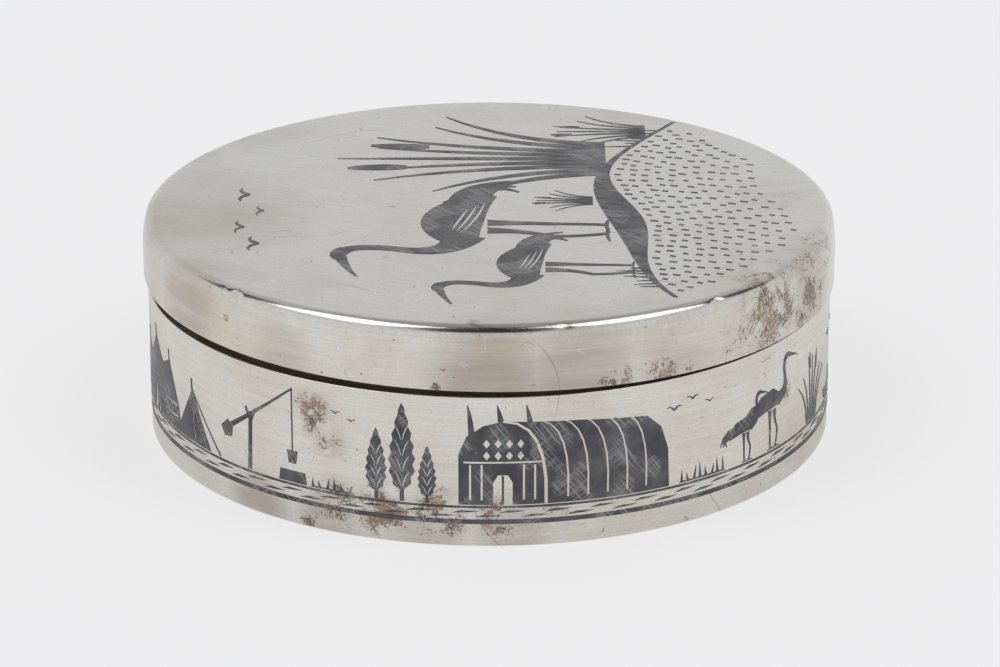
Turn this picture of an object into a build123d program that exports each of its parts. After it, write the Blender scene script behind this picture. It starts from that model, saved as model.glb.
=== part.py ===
from build123d import *
import math
import os

# A round silver box with a pull-off lid, decorated with niello, the dark alloy that fills cuts in the silver.
# Origin: centre of the underside. +Z is up and -Y is the front. All sizes are in millimetres.

# The lid.
lid_diameter = 60.0
lid_height = 5.6
lid_wall = 0.9
lid_plate_thickness = 1.0
lid_edge_radius = 0.9

# The base.
base_height = 13.1
base_setback = 0.3  # how far the base's wall stands inside the lid's, on the radius
base_plate_thickness = 0.9
base_edge_radius = 0.25
solder_leg = 0.5

# The collar, on which the lid slides and seats. The lid's rim was filed by hand, so the seam above the base's wall
# is wider on the left than on the right.
collar_thickness = 0.6
collar_depth = 5.0  # how far the collar reaches down inside the base's wall
slip_clearance = 0.08  # between the collar and the lid, on the radius
seam_left = 0.9
seam_right = 0.2

# The niello.
niello_depth = 0.22
water_line_height = 2.2
water_line_width = 0.4
shore_line_height = 3.5
shore_line_width = 0.2
ripple_rows = 2
ripple_length = 2.2
ripple_spacing = 3.8
ripple_margin = 0.12  # bare silver between the ripples and the lines
frieze_repeats = 2
frieze_margin = 0.5  # bare silver above the tallest picture on the wall
ground_margin = 0.1  # bare silver between the shore line and the pictures
lid_picture_margin = 1.4  # bare silver between the lid's picture and the rounded edge

# The pictures are drawn at these sizes, and scaled from them to fit the wall and the lid.
drawn_wall_height = 8.9
drawn_wall_radius = 29.7
drawn_lid_radius = 27.7
cut = 0.13  # width of a bright line left in the niello

# Places that follow from the sizes above.
lid_radius = lid_diameter / 2
lid_bore_radius = lid_radius - lid_wall
collar_radius = lid_bore_radius - slip_clearance
collar_bore_radius = collar_radius - collar_thickness
base_radius = lid_radius - base_setback
niello_floor_radius = base_radius - niello_depth
lid_rim_level = base_height + (seam_left + seam_right) / 2
lid_top_level = lid_rim_level + lid_height
lid_plate_level = lid_top_level - lid_plate_thickness
pocket_reach = 0.5  # how far a cutting shape stands proud of the surface that it cuts


# Drawing helpers. A picture is a flat sketch that stands on height 0.


def outline(*points):
    return make_face(Polyline(*points, close=True))


def stroke(start, bend, end, widths, steps=6):
    """A tapering stroke along a curve from start to end, pulled towards bend."""
    left, right = [], []
    for i in range(steps + 1):
        t = i / steps
        x, y = ((1 - t) ** 2 * a + 2 * t * (1 - t) * b + t * t * c for a, b, c in zip(start, bend, end))
        dx, dy = (2 * (1 - t) * (b - a) + 2 * t * (c - b) for a, b, c in zip(start, bend, end))
        length = math.hypot(dx, dy)
        half = ((1 - t) ** 2 * widths[0] + 2 * t * (1 - t) * widths[1] + t * t * widths[2]) / 2
        left.append((x - dy / length * half, y + dx / length * half))
        right.append((x + dy / length * half, y - dx / length * half))
    return outline(*left, *reversed(right))


def line(start, end, width):
    middle = ((start[0] + end[0]) / 2, (start[1] + end[1]) / 2)
    return stroke(start, middle, end, (width, width, width), steps=1)


def diamond(x, y, half_width, half_height):
    return outline((x - half_width, y), (x, y + half_height), (x + half_width, y), (x, y - half_height))


def join(*shapes):
    return Sketch() + [face for shape in shapes for face in shape.faces()]


def centred(picture):
    box = picture.bounding_box()
    return Pos(-(box.min.X + box.max.X) / 2, 0) * picture


# Pictures for the wall.


def cypress(x, height, width):
    """A tall flame-shaped tree with a ragged edge, on a short trunk."""
    foot = height * 0.1
    rows = 7
    left, right = [], []
    for i in range(1, rows * 2):
        t = i / (rows * 2)
        half = width / 2 * math.sin(math.pi * t ** 0.6) ** 0.8 * (1.0 if i % 2 else 0.78)
        left.append((x - half, foot + (height - foot) * t))
        right.append((x + half, foot + (height - foot) * (t + 0.02)))
    crown = outline((x, foot), *left, (x, height), *reversed(right))
    trunk = line((x, 0), (x, foot * 1.6), width * 0.16)
    boughs = []
    for share in (0.04, 0.2, 0.36, 0.52):
        level = foot + height * share
        for side in (-1, 1):
            start, tip = (x + side * 0.02 * width, level), (x + side * 0.26 * width, level + 0.16 * height)
            bend = (x + side * 0.1 * width, level + 0.1 * height)
            boughs.append(stroke(start, bend, tip, (cut * 0.3, cut, cut * 0.3), steps=3))
    return join(crown, trunk) - join(*boughs)


def cypresses():
    return join(cypress(0, 6.2, 1.9), cypress(2.2, 8.6, 2.3), cypress(4.3, 5.0, 1.6))


def reed_hall():
    """A vaulted hall of bundled reeds, seen from a corner."""
    wall, ridge, gable, length = 3.4, 5.6, 5.4, 13.6
    body = outline(
        (0, 0), (0, wall), (0.5, wall + 1.2), (1.5, ridge - 0.3), (2.7, ridge), (7.5, ridge - 0.15),
        (length - 1.6, ridge - 0.5), (length - 0.6, ridge - 1.4), (length - 0.1, wall - 0.8), (length, 0),
    )
    gable_edge = stroke((2.7, ridge), (gable + 0.2, ridge), (gable, 0), (cut, cut * 1.6, cut * 1.6))
    ribs = [
        stroke((gable + 1.3 * k - 1.6, ridge), (gable + 1.3 * k + 0.3, ridge - 0.5), (gable + 1.3 * k + 0.1, 0.35),
               (cut * 0.5, cut, cut))
        for k in range(1, 6)
    ]
    door = outline((2.1, 0), (2.1, 1.5), (2.4, 2.0), (3.0, 2.0), (3.3, 1.5), (3.3, 0))
    door_post = line((2.7, 0), (2.7, 1.95), 0.14)
    lattice = [diamond(x, y, 0.22, 0.3) for y in (3.3, 4.1) for x in (1.7, 2.4, 3.1, 3.8)]
    columns = [line((x, 0.3), (x, 2.7), cut) for x in (0.7, 1.4, 4.0, 4.7)]
    eave = line((0.3, 2.85), (gable - 0.2, 2.85), cut)
    finials = [
        stroke((x, ridge - drop), (x - 0.1, ridge + 0.5), (x - 0.25, ridge + 1.1), (0.4, 0.3, 0.05), steps=3)
        for x, drop in ((0.8, 1.0), (2.6, 0.1), (4.4, 0.3))
    ]
    return join(join(body, *finials) - join(door, gable_edge, *ribs, *lattice, *columns, eave), door_post)


def tents():
    """A long tent on three poles, and a small one beside it."""
    peaks = ((1.6, 3.9), (4.3, 5.0), (7.2, 4.3), (10.6, 3.5))
    long_tent = outline((0, 0), (0.5, 1.5), peaks[0], (2.8, 3.3), peaks[1], (5.8, 3.7), peaks[2], (8.6, 1.7), (9.0, 0))
    small_tent = outline((8.4, 0), peaks[3], (12.6, 0))
    poles = [line((x, y - 0.6), (x - 0.1, y + 0.7), 0.16) for x, y in peaks]
    ropes = [line(peaks[0], (-1.2, 0), 0.1), line(peaks[3], (13.6, 0), 0.1)]
    door = outline((3.5, 0), (4.3, 2.9), (5.0, 0))
    curtain = outline((4.3, 0), (4.33, 2.2), (4.6, 0))
    stripes = [
        stroke((0.35, 0.9 + rise), (2.2, 0.7 + rise), (3.4, 1.0 + rise), (cut, cut, cut * 0.4), steps=3)
        for rise in (0, 0.75)
    ] + [
        stroke((5.1, 1.0 + rise), (7.0, 0.7 + rise), (8.5, 0.9 + rise), (cut * 0.4, cut, cut), steps=3)
        for rise in (0, 0.75)
    ]
    seam = stroke((10.6, 3.2), (10.5, 1.5), (10.9, 0.3), (cut * 0.4, cut, cut), steps=3)
    return join(join(long_tent, small_tent, *poles, *ropes) - join(door, *stripes, seam), curtain)


def crane(x, size, facing=1, steps=3):
    """A long-legged bird that stands at x. facing is 1 to the right and -1 to the left."""

    def curve(start, bend, end, *widths):
        points = [(x + facing * u * size, v * size) for u, v in (start, bend, end)]
        return stroke(*points, [width * size for width in widths], steps)

    body = curve((-0.34, 0.42), (-0.08, 0.64), (0.17, 0.5), 0.06, 0.36, 0.1)
    plumes = [
        curve((-0.2, 0.53 - 0.03 * k), (-0.44 - 0.03 * k, 0.56 - 0.06 * k), (-0.49 + 0.06 * k, 0.34 - 0.01 * k),
              0.09, 0.05, 0.01)
        for k in range(3)
    ]
    neck = [
        curve((0.1, 0.51), (0.3, 0.56), (0.23, 0.74), 0.15, 0.07, 0.045),
        curve((0.233, 0.73), (0.18, 0.9), (0.27, 0.935), 0.045, 0.04, 0.06),
    ]
    head = curve((0.22, 0.92), (0.28, 0.96), (0.34, 0.92), 0.03, 0.085, 0.03)
    beak = curve((0.31, 0.93), (0.4, 0.915), (0.5, 0.87), 0.045, 0.028, 0.006)
    legs = []
    for hip, knee, foot in ((-0.04, -0.03, -0.02), (0.04, 0.1, 0.07)):
        legs += [
            curve((hip, 0.43), (hip, 0.3), (knee, 0.21), 0.06, 0.022, 0.028),
            curve((knee, 0.215), (knee, 0.1), (foot, 0.012), 0.026, 0.02, 0.022),
            curve((foot - 0.05, 0.006), (foot, 0.022), (foot + 0.08, 0.006), 0.008, 0.022, 0.008),
        ]
    feathers = [
        curve((-0.26 + 0.03 * k, 0.44 + 0.028 * k), (-0.08, 0.46 + 0.034 * k), (0.08 - 0.02 * k, 0.53 + 0.012 * k),
              0.002, 0.018, 0.002)
        for k in range(3)
    ]
    return join(body, *plumes, *neck, head, beak, *legs) - join(*feathers)


def reeds(x, height, stems=7, steps=3):
    """A clump of reeds that fans out from x, with two seed heads."""
    blades = []
    for k in range(stems):
        spread = (k / (stems - 1) - 0.5) * 2
        reach = height * (1 - 0.4 * abs(spread) ** 1.5 - 0.1 * (k % 2))
        foot, tip = (x + spread * 0.17 * height, 0), (x + spread * 0.5 * height, reach)
        widths = [share * height for share in (0.045, 0.035, 0.006)]
        blades.append(stroke(foot, (x + spread * 0.2 * height, reach * 0.6), tip, widths, steps))
    heads = [
        stroke((x + dx * height, height * y), (x + dx * height, height * (y + 0.1)),
               (x + dx * 1.1 * height, height * (y + 0.22)), [share * height for share in (0.035, 0.1, 0.02)], steps)
        for dx, y in ((-0.1, 0.74), (0.14, 0.66))
    ]
    return join(*blades, *heads)


def wall_cranes():
    return join(crane(0, 8.3, 1), crane(-3.6, 6.1, 1))


def duck(x, size):
    """A duck that swims to the right."""

    def at(u, v):
        return (x + u * size, v * size)

    body = outline(*(at(u, v) for u, v in ((-1, 0.62), (-0.75, 0.12), (-0.3, 0), (0.35, 0), (0.7, 0.25), (0.72, 0.5),
                                           (0.3, 0.64), (-0.3, 0.56), (-0.8, 0.6))))
    neck = stroke(at(0.5, 0.4), at(0.85, 0.7), at(0.6, 1.05), (0.45 * size, 0.2 * size, 0.2 * size), steps=3)
    head = stroke(at(0.46, 1.1), at(0.68, 1.32), at(0.9, 1.08), (0.12 * size, 0.36 * size, 0.16 * size), steps=3)
    beak = outline(at(0.84, 1.18), at(1.25, 1.02), at(0.84, 1.0))
    wing = stroke(at(-0.7, 0.42), at(-0.2, 0.1), at(0.35, 0.42), (cut * 0.4, cut, cut * 0.4), steps=3)
    return join(body, neck, head, beak) - wing


def ducks():
    return join(duck(0, 1.3), duck(3.0, 1.05))


def well_sweep():
    """A forked post with a long beam that lifts a bucket."""
    post = [
        line((0, 0), (0.15, 4.3), 0.34),
        line((0.15, 3.6), (-0.35, 4.6), 0.2),
        line((0.15, 3.6), (0.6, 4.6), 0.2),
    ]
    beam = stroke((-2.3, 2.5), (0.2, 4.1), (3.9, 6.9), (0.42, 0.26, 0.14), steps=3)
    weight = outline((-2.9, 2.5), (-2.5, 1.8), (-1.8, 1.9), (-1.7, 2.6), (-2.2, 3.1))
    rope = line((3.86, 6.9), (3.86, 2.3), 0.1)
    bucket = outline((3.4, 2.35), (4.3, 2.35), (4.15, 1.4), (3.55, 1.4))
    curb = outline((2.7, 0), (2.8, 0.85), (4.9, 0.85), (5.0, 0))
    return join(*post, beam, weight, rope, bucket, curb)


def flying_birds(x, y, size, count=3):
    """Birds high up, each a pair of wings."""
    wings = []
    for k in range(count):
        reach = size * (1 - 0.15 * (k % 3))
        here = (x + 2.0 * size * k, y + 0.7 * size * (k % 2))
        for side in (-1, 1):
            tip = (here[0] + side * 0.8 * reach, here[1] + 0.3 * reach)
            bend = (here[0] + side * 0.4 * reach, here[1] + 0.55 * reach)
            wings.append(stroke(here, bend, tip, (0.2 * reach, 0.16 * reach, 0.04 * reach), steps=3))
    return join(*wings)


def grass(width, height):
    """A row of short blades."""
    count = int(width / 0.55)
    blades = [outline((-0.3, 0), (0, 0.14), (width, 0.14), (width + 0.3, 0))]
    for k in range(count):
        x = width * k / (count - 1)
        lean, reach = 0.2 * math.sin(4.1 * k), height * (0.55 + 0.45 * math.sin(2.3 * k + 0.7) ** 2)
        blades.append(outline((x - 0.15, 0), (x + lean, reach), (x + 0.15, 0)))
    return join(*blades)


# Node name, then for each picture its centre's angle in degrees along one repeat of the frieze, its share of
# the size that it is drawn at, and its drawing.
wall_pictures = {
    "niello_cypresses": ((0, 1.0, cypresses),),
    "niello_reed_halls": ((26.6, 1.3, reed_hall),),
    "niello_grass": (
        (50.6, 1.0, lambda: grass(4.4, 1.5)),
        (168.2, 1.0, lambda: grass(3.4, 1.2)),
    ),
    "niello_cranes": ((64.6, 1.0, wall_cranes),),
    "niello_reeds": ((82.0, 1.0, lambda: reeds(0, 6.6)),),
    "niello_ducks": ((97.4, 1.4, ducks),),
    "niello_tents": ((125.4, 1.35, tents),),
    "niello_well_sweeps": ((154.6, 1.2, well_sweep),),
    "niello_sky_birds": (
        (48, 1.0, lambda: flying_birds(0, 6.6, 0.9)),
        (97, 1.0, lambda: flying_birds(0, 5.6, 1.0)),
        (169, 1.0, lambda: flying_birds(0, 6.4, 0.7)),
    ),
}
frieze_start_deg = -14.0


# Pictures for the lid: a marsh bank with two cranes and a tall stand of reeds.


def bank_level(x):
    return -9.5 - 0.012 * x * x + 0.8 * math.sin(x / 5)


def bank_thickness(x):
    return 0.35 + 2.7 * math.exp(-(((x + 3) / 10) ** 2))


def lid_bank():
    """The dark crest of the bank, cut through by slanting bright lines, with grass growing on it."""
    half_width, pitch = 23, 1.3
    along = [half_width * (i / 14 - 1) for i in range(29)]
    crest = outline(*((x, bank_level(x)) for x in along),
                    *((x, bank_level(x) - bank_thickness(x)) for x in reversed(along)))
    lights = []
    for i in range(int(2 * half_width / pitch) - 3):
        x = -half_width + 2 * pitch + pitch * i
        deep = bank_thickness(x) * (0.5 + 0.35 * math.sin(2.4 * i))
        top = bank_level(x) - 0.15
        lights.append(
            stroke((x, top), (x - 0.1, top - deep / 2), (x - 0.5, top - deep), (cut, cut, cut * 0.4), steps=2)
        )
    blades = []
    for i in range(14):
        x = -20.5 + 0.75 * (i % 7) + 36.5 * (i // 7)
        reach = 1.5 + 0.7 * math.sin(2.9 * i)
        blades.append(outline((x - 0.16, bank_level(x) - 0.1), (x + 0.3 * math.sin(5 * i), bank_level(x) + reach),
                              (x + 0.16, bank_level(x) - 0.1)))
    return join(crest, *blades) - join(*lights)


def lid_stipple():
    """Slanting dashes, in rows down the bank's slope."""
    dashes = []
    for row in range(11):
        pitch = 1.35 + 0.06 * row
        count = int(46 / pitch)
        for i in range(count):
            x = (i - count / 2 + 0.5 * (row % 2)) * pitch + 0.25 * math.sin(7.1 * i + 3.3 * row)
            y = bank_level(x) - bank_thickness(x) - 0.85 - 1.15 * row + 0.15 * math.sin(4.7 * i + row)
            half = 0.27 + 0.06 * math.sin(3.7 * i + 2 * row)
            if math.hypot(x, y) < drawn_lid_radius - 0.8:
                dashes.append(line((x - 0.1, y - half), (x + 0.1, y + half), 0.27 - 0.008 * row))
    return Sketch() + [face for dash in dashes for face in dash.faces()]


def lid_cranes():
    near = Pos(-5.8, bank_level(-5.8) + 0.25) * crane(0, 24.5, -1, steps=14)
    far = Pos(-15.8, bank_level(-15.8) + 0.25) * crane(0, 17.5, -1, steps=12)
    return join(near, far)


def lid_reeds():
    return join(
        Pos(12.5, bank_level(12.5) + 0.5) * reeds(0, 24, stems=9, steps=8),
        Pos(20.3, bank_level(20.3) + 0.9) * reeds(0, 9, stems=7, steps=6),
        Pos(1.0, bank_level(1.0) + 0.35) * reeds(0, 5.5, stems=7, steps=5),
    )


def lid_birds():
    return flying_birds(-10.0, 19.5, 2.1, count=4)


# Earlier pictures lie in front of later ones, which are cut away behind them.
lid_pictures = {
    "niello_lid_cranes": lid_cranes,
    "niello_lid_reeds": lid_reeds,
    "niello_lid_bank": lid_bank,
    "niello_lid_stipple": lid_stipple,
    "niello_lid_birds": lid_birds,
}


# Pieces of silver.


def ring(outer, inner, bottom, top):
    return extrude(Plane.XY.offset(bottom) * (Circle(outer) - Circle(inner)), top - bottom)


def make_base_plate():
    plate = extrude(Circle(base_radius), base_plate_thickness)
    return fillet(plate.edges().group_by(Axis.Z)[0], min(base_edge_radius, base_plate_thickness * 0.9))


def make_base_wall():
    return ring(base_radius, collar_radius, base_plate_thickness, base_height)


def make_collar():
    return ring(collar_radius, collar_bore_radius, base_height - collar_depth, lid_plate_level)


def make_base_solder():
    """The run of solder in the corner between the plate and the wall."""
    corner = (collar_radius, base_plate_thickness)
    foot = (corner[0] - solder_leg, corner[1])
    side = (corner[0], corner[1] + solder_leg)
    return revolve(Plane.XZ * outline(foot, corner, side), Axis.Z)


def make_lid_band():
    skew = math.atan2(seam_left - seam_right, lid_diameter)
    band = ring(lid_radius, lid_bore_radius, base_height, lid_plate_level)
    rim = Plane(origin=(0, 0, lid_rim_level), z_dir=(math.sin(skew), 0, math.cos(skew)))
    return split(band, bisect_by=rim, keep=Keep.TOP)


def make_lid_plate():
    plate = Pos(0, 0, lid_plate_level) * extrude(Circle(lid_radius), lid_plate_thickness)
    return fillet(plate.edges().group_by(Axis.Z)[-1], min(lid_edge_radius, lid_plate_thickness * 0.95))


# The niello. A pocket is the shape that is cut out of the silver, and its inlay is the part of it below the surface.


def wall_pocket(picture, size, angle_deg):
    """Cuts a picture straight into the wall, standing just above the shore line."""
    ground = shore_line_height + shore_line_width / 2 + ground_margin
    picture_scale = min(
        (base_height - ground - frieze_margin) / drawn_wall_height,
        base_radius / drawn_wall_radius,
    )
    start = base_radius + pocket_reach
    front = Plane(origin=(0, -start, ground), x_dir=(1, 0, 0), z_dir=(0, -1, 0))
    flat = front * centred(scale(picture, size * picture_scale))
    sides = ring(start, niello_floor_radius, ground, base_height)
    return Rot(0, 0, angle_deg) * (extrude(flat, -base_radius / 3) & sides)


def repeated(pocket):
    return [
        Rot(0, 0, 360 / frieze_repeats * k) * solid
        for k in range(frieze_repeats)
        for solid in pocket.solids()
    ]


def line_pocket(height, width):
    start = base_radius + pocket_reach
    return ring(start, niello_floor_radius, height - width / 2, height + width / 2).solids()


def ripple_pockets():
    low = water_line_height + water_line_width / 2 + ripple_margin
    high = shore_line_height - shore_line_width / 2 - ripple_margin
    row_height = (high - low) / ripple_rows
    count = int(2 * math.pi * base_radius / ripple_spacing)
    pockets = []
    for row in range(ripple_rows):
        y = low + (row + 0.5) * row_height
        half_length, half_width = ripple_length / 2, row_height * 0.3
        wave = outline((-half_length, y - half_width), (-0.3 * half_length, y + half_width),
                       (half_length, y + half_width * 0.4), (0.2 * half_length, y - half_width * 0.6))
        start = base_radius + pocket_reach
        front = Plane(origin=(0, -start, 0), x_dir=(1, 0, 0), z_dir=(0, -1, 0))
        pocket = extrude(front * wave, -base_radius / 3) & ring(start, niello_floor_radius, low, high)
        pockets += [Rot(0, 0, 360 / count * (k + 0.5 * row)) * pocket.solid() for k in range(count)]
    return pockets


def wall_pockets():
    pockets = {
        "niello_water_line": line_pocket(water_line_height, water_line_width),
        "niello_shore_line": line_pocket(shore_line_height, shore_line_width),
        "niello_ripples": ripple_pockets(),
    }
    for name, pictures in wall_pictures.items():
        pockets[name] = [
            solid
            for angle_deg, size, draw in pictures
            for solid in repeated(wall_pocket(draw(), size, frieze_start_deg + angle_deg))
        ]
    return pockets


def lid_sketches():
    picture_scale = (lid_radius - lid_edge_radius - lid_picture_margin) / drawn_lid_radius
    sketches, drawn = {}, []
    for name, draw in lid_pictures.items():
        picture = draw() - join(*drawn) if drawn else draw()
        drawn.append(picture)
        sketches[name] = scale(picture, picture_scale)
    return sketches


def main():
    os.makedirs("parts", exist_ok=True)
    parts = {
        "base_plate": make_base_plate(),
        "collar": make_collar(),
        "base_solder": make_base_solder(),
        "lid_band": make_lid_band(),
    }

    wall = make_base_wall()
    cutters = []
    for name, pockets in wall_pockets().items():
        cutters += pockets
        parts[name] = Compound(children=[solid for pocket in pockets for solid in (pocket & wall).solids()])
    parts["base_wall"] = wall - cutters

    plate = make_lid_plate()
    # The lid's picture is upright when it is seen from the right.
    face = Plane(origin=(0, 0, lid_top_level), x_dir=(0, 1, 0), z_dir=(0, 0, 1))
    cutters = []
    for name, sketch in lid_sketches().items():
        cutters += extrude(face.offset(pocket_reach) * sketch, -niello_depth - pocket_reach).solids()
        parts[name] = Compound(children=extrude(face * sketch, -niello_depth).solids())
    parts["lid_plate"] = plate - cutters

    for name, part in parts.items():
        export_step(part, f"parts/{name}.step")


if __name__ == "__main__":
    main()
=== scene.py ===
import math

import bmesh
import bpy
from mathutils import Euler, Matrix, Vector, noise


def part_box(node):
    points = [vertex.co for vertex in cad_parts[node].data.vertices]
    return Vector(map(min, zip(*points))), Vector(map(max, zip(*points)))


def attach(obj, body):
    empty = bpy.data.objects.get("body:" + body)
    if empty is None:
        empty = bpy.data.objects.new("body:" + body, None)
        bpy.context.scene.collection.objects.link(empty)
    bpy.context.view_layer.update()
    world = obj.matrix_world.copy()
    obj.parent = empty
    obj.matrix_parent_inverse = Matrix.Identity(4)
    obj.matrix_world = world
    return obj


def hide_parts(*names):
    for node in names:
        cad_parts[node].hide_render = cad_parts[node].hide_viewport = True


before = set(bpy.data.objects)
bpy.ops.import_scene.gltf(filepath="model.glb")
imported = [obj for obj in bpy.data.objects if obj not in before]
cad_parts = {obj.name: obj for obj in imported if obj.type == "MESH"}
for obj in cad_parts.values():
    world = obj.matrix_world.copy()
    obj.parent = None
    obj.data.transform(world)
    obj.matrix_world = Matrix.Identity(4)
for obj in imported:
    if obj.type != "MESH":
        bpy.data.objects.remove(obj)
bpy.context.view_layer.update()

# A round silver box with a pull-off lid and niello pictures. Metres, +Z up, -Y the front.

MM = 0.001

# Sizes read from the frame.
base_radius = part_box("base_wall")[1].x
base_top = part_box("base_wall")[1].z
floor_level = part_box("base_wall")[0].z
collar_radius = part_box("collar")[1].x
collar_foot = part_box("collar")[0].z
collar_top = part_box("collar")[1].z
lid_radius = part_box("lid_plate")[1].x
lid_top_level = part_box("lid_plate")[1].z
lid_joint_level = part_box("lid_plate")[0].z
lid_rim_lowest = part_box("lid_band")[0].z

# Sizes that the boxes don't show.
collar_thickness = 0.6 * MM
collar_bevel = 0.14 * MM
wall_bevel = 0.1 * MM
lid_wall = 0.9 * MM
lid_rim_bevel = 0.13 * MM
lid_waviness = 0.05 * MM  # the most that the lid is out of round
nick_inset = 0.2 * MM  # how far the middle of a nick lies inside the lid's widest place
even_share = 0.9  # share of the lid's radius within which it isn't nicked or out of round
flat_share = 0.85  # share of the lid's radius at which the flat top starts to be rounded off
lid_edge_radius = 0.9 * MM
lid_edge_lean_deg = 12  # how far the rounded edge still leans where the lid's side takes over
lid_edge_run = 2.2 * MM  # height over which the side then comes upright
base_edge_radius = 0.25 * MM
rim_rise = 0.35 * MM  # how far the lid's rim rises at the left, and falls at the right, from its mean level
niello_stands_proud = 0.03 * MM
sharp_angle_deg = 35

# Colours.
SIDE_TONE = (0.86, 0.845, 0.8, 1)
TOP_TONE = (0.81, 0.805, 0.785, 1)
AGEING = (0.06, 0.11, 0.2)  # how much of its red, green and blue a cloudy place loses
GRAIN_GREY = (0.42, 0.39, 0.35, 1)
GRIT_GREY = (0.35, 0.33, 0.3, 1)
FILM_BROWN = (0.43, 0.35, 0.29, 1)
SPECK_BROWN = (0.33, 0.21, 0.12, 1)
DARK_DIRT = (0.1, 0.075, 0.055, 1)
SCRATCH_GREY = (0.25, 0.23, 0.2, 1)
SCRATCH_WHITE = (0.93, 0.92, 0.89, 1)
COLLAR_PALE = (0.66, 0.6, 0.5, 1)
COLLAR_BROWN = (0.5, 0.41, 0.31, 1)
COLLAR_RUBBED = (0.8, 0.76, 0.68, 1)
# painted shade and dirt for the open seam on the collar's outside
SEAM_SHADE_AND_DIRT = (0.085, 0.06, 0.045, 1)
NIELLO_DARK = (0.075, 0.075, 0.088, 1)
NIELLO_PALE = (0.15, 0.15, 0.165, 1)
NIELLO_CUT = (0.62, 0.61, 0.58, 1)
NIELLO_WORN = (0.5, 0.49, 0.46, 1)
SOLDER_DARK = (0.34, 0.3, 0.25, 1)
SOLDER_PALE = (0.66, 0.64, 0.58, 1)
FLOOR_PALE = (0.93, 0.93, 0.93, 1)
FLOOR_SHADE = (0.9, 0.9, 0.905, 1)
FLOOR_GLOW = (0.93, 0.93, 0.945, 1)
SKY_HORIZON = (0.75, 0.755, 0.755, 1)
SKY_MIDDLE = (0.63, 0.63, 0.625, 1)
SKY_TOP = (0.32, 0.32, 0.33, 1)
FLAG_BLACK = (0.03, 0.03, 0.03, 1)
WHITE = (1, 1, 1, 1)

# The camera's place and lens, found from the photo.
camera_place = (0.93 * MM, -331.4 * MM, 134.25 * MM)
camera_pitch_deg = 20.97
camera_lens_mm = 145.6
camera_nearest, camera_farthest = 0.01, 20

# Softboxes: angle from the front and elevation in degrees, power in watts.
softboxes = {
    "left_softbox": (-65, 57, 2.2),
    "right_softbox": (65, 57, 1.9),
}
softbox_width, softbox_height, softbox_distance = 0.6, 0.54, 1.0
floor_half_size = 3.0

# Wear on the lid's rounded edge: angle from the front in degrees, height above the joint, depth, width.
lid_nicks = (
    (-44, 0.55 * MM, 0.22 * MM, 0.45 * MM),
    (-47.5, 0.75 * MM, 0.12 * MM, 0.3 * MM),
    (38.7, 0.6 * MM, 0.2 * MM, 0.5 * MM),
    (12, 0.9 * MM, 0.08 * MM, 0.5 * MM),
    (96, 0.5 * MM, 0.14 * MM, 0.5 * MM),
    (171, 0.6 * MM, 0.16 * MM, 0.6 * MM),
    (-122, 0.7 * MM, 0.12 * MM, 0.4 * MM),
)


# Shapes.


def corner(radius, height, size, start_deg, end_deg, steps=6):
    """Points of a rounded corner in a profile, round the centre (radius, height)."""
    angles = (math.radians(start_deg + (end_deg - start_deg) * i / steps) for i in range(steps + 1))
    return [(radius + size * math.cos(angle), height + size * math.sin(angle)) for angle in angles]


def on_circle(radius, angle_deg, height):
    angle = math.radians(angle_deg)
    return Vector((radius * math.sin(angle), -radius * math.cos(angle), height))


def turned(name, profile, body, replaced, shape=None, segments=720):
    """A piece turned from (radius, height) points. A profile that starts and ends on the axis is solid."""
    mesh = bpy.data.meshes.new(name)
    turning = bmesh.new()
    solid = profile[0][0] == 0
    rim = profile[1:-1] if solid else profile
    rings = []
    for radius, height in rim:
        points = [on_circle(radius, 360 * i / segments, height) for i in range(segments)]
        rings.append([turning.verts.new(shape(point) if shape else point) for point in points])
    pairs = list(zip(rings, rings[1:]))
    if solid:
        for ring, (_, height) in ((rings[0], profile[0]), (rings[-1], profile[-1])):
            middle = turning.verts.new((0, 0, height))
            for i in range(segments):
                turning.faces.new((middle, ring[i], ring[(i + 1) % segments]))
    else:
        pairs.append((rings[-1], rings[0]))
    for lower, upper in pairs:
        for i in range(segments):
            j = (i + 1) % segments
            turning.faces.new((lower[i], lower[j], upper[j], upper[i]))
    bmesh.ops.recalc_face_normals(turning, faces=turning.faces)
    turning.to_mesh(mesh)
    turning.free()
    for face in mesh.polygons:
        face.use_smooth = True
    mesh.set_sharp_from_angle(angle=math.radians(sharp_angle_deg))
    piece = bpy.data.objects.new(name, mesh)
    bpy.context.scene.collection.objects.link(piece)
    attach(piece, body)
    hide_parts(replaced)
    return piece


def hand_made(point):
    """The lid is a little out of round and its edge is nicked."""
    radius = math.hypot(point.x, point.y)
    outward = Vector((point.x, point.y, 0)) / radius
    if radius < lid_radius * even_share:
        return point
    moved = point + outward * lid_waviness * noise.noise(outward * 1.7)
    for angle_deg, height, depth, width in lid_nicks:
        here = on_circle(lid_radius - nick_inset, angle_deg, lid_joint_level + height)
        moved -= outward * depth * math.exp(-((point - here).length / width) ** 2)
    return moved


def lid_side_shape(point):
    """The rim was filed by hand, so it is higher at the left."""
    below_joint = (lid_joint_level - point.z) / (lid_joint_level - lid_rim_lowest)
    point = point + Vector((0, 0, -point.x / lid_radius * rim_rise * min(1.0, below_joint * 2)))
    return hand_made(point)


def make_foot_plate():
    radius = base_radius - niello_stands_proud
    profile = [(0, 0)]
    profile += corner(radius - base_edge_radius, base_edge_radius, base_edge_radius, -90, 0)
    profile += [(radius, floor_level), (0, floor_level)]
    return turned("foot_plate", profile, "base", "base_plate")


def make_wall_shell():
    radius = base_radius - niello_stands_proud
    profile = [(radius, floor_level)]
    profile += corner(radius - wall_bevel, base_top - wall_bevel, wall_bevel, 0, 90)
    profile += [(collar_radius, base_top), (collar_radius, floor_level)]
    return turned("wall_shell", profile, "base", "base_wall")


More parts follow.
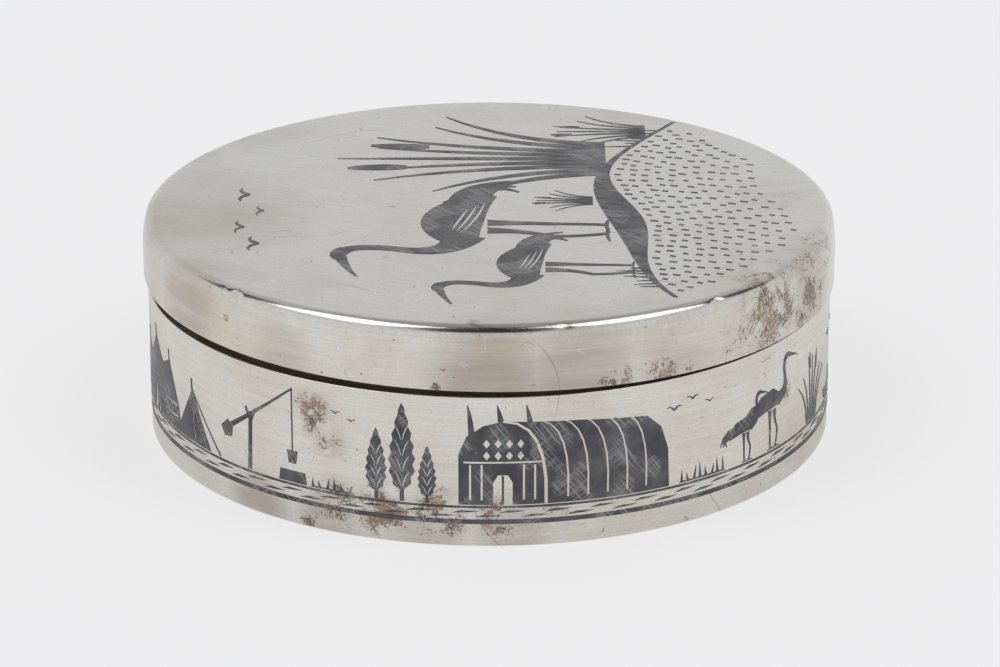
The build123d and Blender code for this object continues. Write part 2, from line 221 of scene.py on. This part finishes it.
def make_collar_ring():
    bevel = collar_bevel
    outer, inner = collar_radius, collar_radius - collar_thickness
    profile = [(outer, collar_foot)]
    profile += corner(outer - bevel, collar_top - bevel, bevel, 0, 90)
    profile += corner(inner + bevel, collar_top - bevel, bevel, 90, 180)
    profile += corner(inner + bevel, collar_foot + bevel, bevel, 180, 270)
    return turned("collar_ring", profile, "base", "collar")


def side_inset(level):
    """How far the lid's side stands in from its widest place, where it curves over towards the top."""
    lean = math.radians(lid_edge_lean_deg)
    below = lid_top_level - lid_edge_radius * (1 - math.sin(lean)) - level
    share = min(max(below / lid_edge_run, 0), 1)
    return lean * lid_edge_run / 2 * (1 - share) ** 2


def make_lid_side():
    bevel = lid_rim_bevel
    inner, rim = lid_radius - lid_wall, lid_rim_lowest + rim_rise
    steps = 8
    levels = [lid_joint_level - lid_edge_run * i / steps for i in range(steps + 1)]
    profile = [(lid_radius - side_inset(level), level) for level in levels]
    profile += corner(lid_radius - bevel, rim + bevel, bevel, 0, -90)
    profile += corner(inner + bevel, rim + bevel, bevel, -90, -180)
    profile += [(inner, lid_joint_level)]
    return turned("lid_side", profile, "lid", "lid_band", lid_side_shape)


def make_lid_top():
    top = lid_top_level - niello_stands_proud
    lean = math.radians(lid_edge_lean_deg)
    centre = lid_radius - lean * lid_edge_run / 2 - lid_edge_radius * math.cos(lean)
    profile = [(0, lid_joint_level), (lid_radius - side_inset(lid_joint_level), lid_joint_level)]
    profile += corner(centre, top - lid_edge_radius, lid_edge_radius, lid_edge_lean_deg, 90, steps=16)
    profile += [(lid_radius * flat_share, top), (0, top)]
    return turned("lid_top", profile, "lid", "lid_plate", hand_made)


# Materials.


class Nodes:
    """Adds nodes to one node tree."""

    def __init__(self, tree):
        self.tree = tree

    def add(self, kind, inputs=None, output=0, **settings):
        node = self.tree.nodes.new(kind)
        for name, value in settings.items():
            setattr(node, name, value)
        for name, value in (inputs or {}).items():
            self.set(node, name, value)
        return node.outputs[output]

    def set(self, node, name, value):
        if isinstance(value, bpy.types.NodeSocket):
            self.tree.links.new(value, node.inputs[name])
        else:
            node.inputs[name].default_value = value

    def sum(self, a, b):
        return self.add("ShaderNodeMath", {0: a, 1: b}, operation="ADD")

    def product(self, a, b):
        return self.add("ShaderNodeMath", {0: a, 1: b}, operation="MULTIPLY")

    def greatest(self, a, b):
        return self.add("ShaderNodeMath", {0: a, 1: b}, operation="MAXIMUM")

    def size_of(self, a):
        return self.add("ShaderNodeMath", {0: a}, operation="ABSOLUTE")

    def between(self, value, low, high, at_low=0.0, at_high=1.0):
        """A smooth step from at_low to at_high as the value goes from low to high."""
        inputs = {"Value": value, "From Min": low, "From Max": high, "To Min": at_low, "To Max": at_high}
        return self.add("ShaderNodeMapRange", inputs, interpolation_type="SMOOTHSTEP")

    def mixed(self, share, a, b):
        return self.add("ShaderNodeMix", {0: share, 6: a, 7: b}, output=2, data_type="RGBA")


class Shading(Nodes):
    """The nodes of one material. Places and sizes in it are in millimetres."""

    def __init__(self, name):
        self.material = bpy.data.materials.new(name)
        self.material.use_nodes = True
        super().__init__(self.material.node_tree)
        self.shader = self.tree.nodes["Principled BSDF"]
        here = self.add("ShaderNodeTexCoord", output="Object")
        self.place = self.add("ShaderNodeVectorMath", {0: here, "Scale": 1 / MM}, operation="SCALE")

    def surface(self, **inputs):
        for name, value in inputs.items():
            self.set(self.shader, name.replace("_", " "), value)

    def stretched(self, factors, turn_deg=0.0):
        turn = (0, 0, math.radians(turn_deg))
        rotated = self.add("ShaderNodeMapping", {"Vector": self.place, "Rotation": turn})
        return self.add("ShaderNodeMapping", {"Vector": rotated, "Scale": factors})

    def noise(self, scale, detail=3.0, roughness=0.5, place=None):
        inputs = {"Vector": place or self.place, "Scale": scale, "Detail": detail, "Roughness": roughness}
        return self.add("ShaderNodeTexNoise", inputs)

    def lines(self, scale, width, place=None, detail=1.0):
        """Thin curving lines, where a noise crosses its middle value."""
        off_middle = self.size_of(self.sum(self.noise(scale, detail, place=place), -0.5))
        return self.between(off_middle, 0.0, width, 1.0, 0.0)

    def patch(self, centre, size):
        """1 close to a point of the surface, fading to 0 at a distance of size from it."""
        ends = {0: self.place, 1: centre}
        away = self.add("ShaderNodeVectorMath", ends, output="Value", operation="DISTANCE")
        return self.between(away, size * 0.25, size, 1.0, 0.0)

    def spread(self, patches):
        """The strongest of some patches, each a centre, a size and a strength."""
        strongest = 0.0
        for centre, size, strength in patches:
            strongest = self.greatest(strongest, self.product(self.patch(centre, size), strength))
        return strongest

    def bump(self, height):
        """A bump from a height in millimetres."""
        return self.add("ShaderNodeBump", {"Height": height, "Distance": MM}, output="Normal")

    def off_axis(self):
        """The distance from the box's axis, in millimetres."""
        flat = self.add("ShaderNodeVectorMath", {0: self.place, 1: (1, 1, 0)}, operation="MULTIPLY")
        return self.add("ShaderNodeVectorMath", {0: flat}, output="Value", operation="LENGTH")

    def unrolled(self, radius):
        """The place on an upright wall, laid out flat: along the wall, up it, and 0."""
        parts = self.add("ShaderNodeSeparateXYZ", {0: self.place}).node.outputs
        front = self.product(parts["Y"], -1.0)
        angle = self.add("ShaderNodeMath", {0: parts["X"], 1: front}, operation="ARCTAN2")
        return self.add("ShaderNodeCombineXYZ", {0: self.product(angle, radius), 1: parts["Z"]})

    def hatching(self, place, turn_deg, spacing, length):
        """Groups of fine straight lines, all at one slant."""
        cells_per_stroke = 2.2
        turn = (0, 0, math.radians(turn_deg))
        scale = (1 / length, cells_per_stroke / spacing, 1)
        slanted = self.add("ShaderNodeMapping", {"Vector": place, "Rotation": turn})
        drawn_out = self.add("ShaderNodeMapping", {"Vector": slanted, "Scale": scale})
        strokes = self.between(self.noise(1.0, 0.0, place=drawn_out), 0.52, 0.62)
        group = self.between(self.noise(0.3, 1.0, place=place), 0.47, 0.56)
        return self.product(strokes, group)


def make_silver(name, tone, dull, on_side, patches, films, cloudiness=1.0, specks=0.0):
    """Worn silver with brown films, and tarnish in fine specks. dull is its mean roughness."""
    s = Shading(name)
    cloud = s.noise(0.09, 5.0, 0.6)
    fine = s.noise(4.2, 4.0, 0.7)
    grit = s.noise(6.0, 2.0, 0.6)
    ragged = s.product(s.spread(patches), s.between(s.noise(0.5, 4.0, 0.65), 0.34, 0.6))
    streaks = s.noise(1.0, 4.0, 0.6, s.stretched((0.07, 0.07, 0.8) if on_side else (0.1, 0.1, 0.1)))
    film = s.product(s.spread(films), s.between(streaks, 0.3, 0.65, 0.55, 1.0))
    film = s.greatest(film, s.product(ragged, 0.5))
    dots = s.between(s.sum(fine, s.product(ragged, 0.23)), 0.68 - specks, 0.76 - specks)
    pit = s.between(s.noise(2.4, 2.0), 0.71, 0.78)
    if on_side:
        grain = s.noise(1.0, 3.0, place=s.stretched((0.16, 0.16, 8.0)))
        scratches = s.lines(1.0, 0.012, s.stretched((0.1, 0.1, 1.1)))
        polish = 0.0
    else:
        grain = s.noise(1.0, 3.0, place=s.stretched((0.3, 7.0, 1.0), 24))
        scratches = s.lines(1.0, 0.01, s.stretched((0.06, 0.9, 1.0), -37))
        polish = s.between(s.off_axis(), lid_radius / MM - 1.1, lid_radius / MM - 0.7)
    crossing = s.lines(1.0, 0.008, s.stretched((0.5, 0.07, 0.4), 61))
    seldom = s.between(s.noise(0.3, 2.0), 0.5, 0.6)
    scratches = s.product(s.greatest(scratches, crossing), seldom)
    long_lines = s.product(s.lines(0.06, 0.004, detail=0.0), s.between(s.noise(0.11, 1.0), 0.54, 0.6))
    short_lines = s.product(s.lines(0.4, 0.012, detail=0.0), s.between(s.noise(0.45, 1.0), 0.66, 0.7))
    dark_lines = s.greatest(long_lines, short_lines)

    aged = [part * (1 - loss * cloudiness) for part, loss in zip(tone, AGEING)] + [1]
    colour = s.mixed(s.between(cloud, 0.4, 0.7), tone, aged)
    colour = s.mixed(s.product(s.between(grain, 0.35, 0.65), 0.16), colour, GRAIN_GREY)
    colour = s.mixed(s.product(s.between(grit, 0.4, 0.75), 0.16), colour, GRIT_GREY)
    colour = s.mixed(film, colour, FILM_BROWN)
    speck = s.mixed(s.between(s.noise(0.8, 3.0), 0.35, 0.65), SPECK_BROWN, DARK_DIRT)
    colour = s.mixed(s.product(dots, 0.75), colour, speck)
    colour = s.mixed(s.product(pit, 0.8), colour, DARK_DIRT)
    colour = s.mixed(s.product(dark_lines, 0.5), colour, SCRATCH_GREY)
    colour = s.mixed(s.product(scratches, 0.3), colour, SCRATCH_WHITE)
    rough = s.sum(s.between(cloud, 0.3, 0.7, dull * 0.85, dull * 1.15), s.product(dots, 0.2))
    rough = s.add("ShaderNodeMix", {0: polish, 2: rough, 3: 0.18})

    height = s.product(s.noise(0.16, 2.0), 0.03)
    height = s.sum(height, s.product(grain, 0.0018))
    height = s.sum(height, s.product(grit, 0.0012))
    height = s.sum(height, s.product(scratches, -0.0016))
    height = s.sum(height, s.product(s.greatest(pit, dots), -0.003))
    s.surface(Base_Color=colour, Metallic=1.0, Roughness=rough, Normal=s.bump(height))
    return s.material


def make_collar_silver():
    """Tarnished silver, painted black with shade and dirt where the seam leaves it open, and rubbed clean
    higher up.
    """
    s = Shading("collar_silver")
    level = s.add("ShaderNodeSeparateXYZ", {0: s.place}, output="Z")
    blotch = s.noise(0.3, 4.0, 0.55)
    seam = base_top / MM
    # Painted shade and dirt: the collar's outside darkens to near black towards the seam.
    shaded_and_soiled = s.between(s.sum(level, blotch), seam + 1.2, seam + 2.4, 1.0, 0.0)
    outside = s.between(s.off_axis(), collar_radius / MM - 0.4, collar_radius / MM - 0.2)
    shaded_and_soiled = s.product(shaded_and_soiled, outside)
    rubbed = s.noise(1.0, 3.0, place=s.stretched((2.0, 2.0, 0.3)))
    colour = s.mixed(s.between(blotch, 0.35, 0.65), COLLAR_PALE, COLLAR_BROWN)
    colour = s.mixed(s.product(s.between(rubbed, 0.5, 0.7), 0.2), colour, COLLAR_RUBBED)
    colour = s.mixed(shaded_and_soiled, colour, SEAM_SHADE_AND_DIRT)
    height = s.sum(s.product(rubbed, 0.004), s.product(blotch, 0.006))
    rough = s.sum(s.between(blotch, 0.3, 0.7, 0.26, 0.4), s.product(shaded_and_soiled, 0.3))
    s.surface(Base_Color=colour, Metallic=1.0, Roughness=rough, Normal=s.bump(height))
    return s.material


def make_niello(name, on_side):
    """Dark grey niello, satin, with groups of fine bright hatching and soft cloudiness."""
    s = Shading(name)
    place = s.unrolled(base_radius / MM) if on_side else s.place
    cloud = s.noise(0.35, 5.0, 0.65)
    grit = s.noise(5.0, 3.0)
    hatching = s.hatching(place, 52, 0.3, 3.0)
    hatching = s.greatest(hatching, s.product(s.hatching(place, -35, 0.34, 3.5), 0.7))
    wear = s.between(s.noise(1.3, 4.0, 0.7), 0.66, 0.76)
    colour = s.mixed(s.between(cloud, 0.3, 0.7), NIELLO_DARK, NIELLO_PALE)
    colour = s.mixed(s.product(hatching, 0.33), colour, NIELLO_CUT)
    colour = s.mixed(s.product(wear, 0.35), colour, NIELLO_WORN)
    rough = s.between(grit, 0.3, 0.7, 0.3, 0.46)
    height = s.sum(s.product(grit, 0.003), s.product(s.noise(0.16, 2.0), 0.03))
    height = s.sum(height, s.product(hatching, -0.003))
    s.surface(Base_Color=colour, Metallic=0.7, Roughness=rough, Normal=s.bump(height))
    return s.material


def make_solder():
    """Lumpy dull solder."""
    s = Shading("solder")
    lumps = s.noise(1.2, 4.0)
    colour = s.mixed(lumps, SOLDER_DARK, SOLDER_PALE)
    rough = s.between(lumps, 0.3, 0.7, 0.35, 0.6)
    s.surface(Base_Color=colour, Metallic=1.0, Roughness=rough, Normal=s.bump(s.product(lumps, 0.05)))
    return s.material


def make_floor_material():
    """A pale floor, lifted towards white for the camera and in reflections, so its shadows stay faint."""
    s = Shading("pale_floor")
    tint = s.mixed(s.noise(0.01, 2.0), FLOOR_PALE, FLOOR_SHADE)
    s.surface(Base_Color=tint, Roughness=0.9)
    path = s.tree.nodes.new("ShaderNodeLightPath").outputs
    reflected = s.product(s.greatest(path["Is Glossy Ray"], path["Is Transmission Ray"]), 0.25)
    seen = s.greatest(s.product(path["Is Camera Ray"], 0.7), reflected)
    glow = s.add("ShaderNodeEmission", {"Color": FLOOR_GLOW, "Strength": 1.0})
    lifted = s.add("ShaderNodeMixShader", {0: seen, 1: s.shader.outputs[0], 2: glow})
    s.set(s.tree.nodes["Material Output"], "Surface", lifted)
    return s.material


def patch_at(radius, angle_deg, height, size, strength):
    """A tarnished place. Its radius, height and size are in millimetres."""
    centre = on_circle(radius, angle_deg, height)
    return (tuple(centre), size, strength)


def on_lid_side(angle_deg, height, size, strength):
    return patch_at(lid_radius / MM, angle_deg, height, size, strength)


def on_wall(angle_deg, height, size, strength):
    return patch_at(base_radius / MM, angle_deg, height, size, strength)


# Places with brown specks.
lid_patches = (
    on_lid_side(52, 16.8, 6.5, 1.1),
    on_lid_side(64, 16.0, 6.0, 1.2),
    on_lid_side(72, 18.5, 4.0, 0.8),
    on_lid_side(43, 14.6, 3.5, 0.7),
    on_lid_side(20, 13.9, 2.6, 1.3),
    on_lid_side(28, 13.9, 2.4, 1.1),
    on_lid_side(-8, 13.9, 0.8, 1.2),
    on_lid_side(33, 14.0, 0.7, 1.2),
    on_lid_side(-46, 16.6, 0.5, 1.2),
    on_lid_side(-118, 16.0, 6.0, 0.8),
    on_lid_side(165, 15.0, 5.0, 0.7),
    patch_at(24, 95, 19.2, 6.0, 0.4),
    patch_at(27, 60, 19.2, 4.0, 0.5),
)
wall_patches = (
    on_wall(-29, 10.2, 2.8, 1.3),
    on_wall(-26, 8.0, 2.0, 1.1),
    on_wall(-25, 2.6, 3.2, 1.4),
    on_wall(-17, 2.6, 3.5, 1.5),
    on_wall(-8, 2.6, 3.5, 1.4),
    on_wall(2, 2.5, 3.2, 1.1),
    on_wall(10, 2.6, 2.6, 0.7),
    on_wall(-30, 0.9, 1.6, 1.3),
    on_wall(25, 7.6, 1.2, 0.7),
    on_wall(57, 8.3, 1.3, 1.1),
    on_wall(140, 6.0, 6.0, 0.7),
    on_wall(-150, 3.0, 6.0, 0.8),
    on_wall(-95, 11.0, 4.0, 0.7),
)

# Places with a thin brown film. Along the wall's foot at the front the films also stand in for a darker
# reflection: painted shade.
lid_films = (
    on_lid_side(0, 14.4, 7.0, 0.8),
    on_lid_side(14, 14.4, 7.0, 0.65),
    on_lid_side(30, 14.4, 6.0, 0.4),
    on_lid_side(-34, 14.8, 4.0, 0.35),
    on_lid_side(-58, 16.2, 6.5, 0.6),
    on_lid_side(66, 16.0, 6.5, 0.6),
    patch_at(27, -84, 19.2, 15.0, 0.45),
    on_lid_side(150, 15.6, 9.0, 0.35),
    on_lid_side(-130, 15.6, 9.0, 0.3),
)
wall_films_and_foot_shade = (
    # These four films along the foot are brown film together with a painted darker reflection there.
    on_wall(-40, 0.8, 4.5, 0.65),
    on_wall(-26, 1.0, 4.5, 0.6),
    on_wall(-10, 1.0, 4.5, 0.55),
    on_wall(4, 1.0, 4.5, 0.5),
    on_wall(-78, 7.0, 7.0, 0.4),
    on_wall(130, 4.0, 9.0, 0.3),
)


def dress():
    """Builds the silver pieces and gives every piece its material."""
    looks = {
        "niello_lid_": make_niello("niello_lid", False),
        "niello_": make_niello("niello_wall", True),
        "base_solder": make_solder(),
    }
    for name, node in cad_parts.items():
        for start, material in looks.items():
            if name.startswith(start):
                node.data.materials.clear()
                node.data.materials.append(material)
                break
    wall_silver = make_silver("wall_silver", SIDE_TONE, 0.24, True, wall_patches, wall_films_and_foot_shade)
    side_silver = make_silver(
        "lid_side_silver", SIDE_TONE, 0.21, True, lid_patches, lid_films, cloudiness=1.3, specks=0.01
    )
    top_silver = make_silver("lid_top_silver", TOP_TONE, 0.27, False, lid_patches, lid_films, cloudiness=0.4)
    for piece, material in (
        (make_foot_plate(), wall_silver),
        (make_wall_shell(), wall_silver),
        (make_collar_ring(), make_collar_silver()),
        (make_lid_side(), side_silver),
        (make_lid_top(), top_silver),
    ):
        piece.data.materials.append(material)


# The camera, the lights and the floor.


def make_camera():
    camera = bpy.data.objects.new("camera", bpy.data.cameras.new("camera"))
    bpy.context.scene.collection.objects.link(camera)
    camera.location = camera_place
    camera.rotation_euler = Euler((math.radians(90 - camera_pitch_deg), 0, 0))
    camera.data.lens = camera_lens_mm
    camera.data.clip_start = camera_nearest
    camera.data.clip_end = camera_farthest
    bpy.context.scene.camera = camera


def make_softbox(name, angle_deg, elevation_deg, power):
    """A soft lamp aimed at the box."""
    lamp = bpy.data.lights.new(name, "AREA")
    lamp.shape = "RECTANGLE"
    lamp.size = softbox_width
    lamp.size_y = softbox_height
    lamp.energy = power
    holder = bpy.data.objects.new(name, lamp)
    bpy.context.scene.collection.objects.link(holder)
    elevation = math.radians(elevation_deg)
    away, up = softbox_distance * math.cos(elevation), softbox_distance * math.sin(elevation)
    place = on_circle(away, angle_deg, up)
    holder.location = place
    holder.rotation_euler = (-place).to_track_quat("-Z", "Y").to_euler()


def make_world():
    """A sky that pales to the horizon, with dark flags in front and at the sides. The camera sees white."""
    world = bpy.data.worlds.new("studio")
    bpy.context.scene.world = world
    world.use_nodes = True
    n = Nodes(world.node_tree)
    direction = n.add("ShaderNodeTexCoord", output="Generated")
    parts = n.add("ShaderNodeSeparateXYZ", {0: direction}).node.outputs
    backward, up = parts["Y"], parts["Z"]
    sideways = n.size_of(parts["X"])

    sky = n.add("ShaderNodeValToRGB", {0: up})
    ramp = sky.node.color_ramp
    ramp.elements[0].position = 0.05
    ramp.elements[0].color = SKY_HORIZON
    ramp.elements[1].position = 0.95
    ramp.elements[1].color = SKY_TOP
    ramp.elements.new(0.55).color = SKY_MIDDLE

    middle = n.between(sideways, 0.2, 0.42, 1.0, 0.0)
    in_front = n.product(middle, n.between(backward, -0.3, -0.02, 1.0, 0.0))
    front_flag = n.product(in_front, n.between(up, 0.3, 0.55))
    abreast = n.product(n.between(backward, 0.02, 0.12), n.between(backward, 0.34, 0.46, 1.0, 0.0))
    beside = n.product(abreast, n.between(sideways, 0.5, 0.62))
    side_flags = n.product(beside, n.between(up, 0.42, 0.5))
    light = n.mixed(n.greatest(front_flag, side_flags), sky, FLAG_BLACK)
    camera_ray = n.add("ShaderNodeLightPath", output="Is Camera Ray")
    n.set(n.tree.nodes["Background"], "Color", n.mixed(camera_ray, light, WHITE))


def make_floor():
    size = floor_half_size
    mesh = bpy.data.meshes.new("floor")
    corners = [(-size, -size, 0), (size, -size, 0), (size, size, 0), (-size, size, 0)]
    mesh.from_pydata(corners, [], [(0, 1, 2, 3)])
    floor = bpy.data.objects.new("floor", mesh)
    bpy.context.scene.collection.objects.link(floor)
    floor.data.materials.append(make_floor_material())


make_camera()
dress()
make_floor()
make_world()
for softbox, settings in softboxes.items():
    make_softbox(softbox, *settings)
bpy.context.scene.view_settings.view_transform = "Standard"
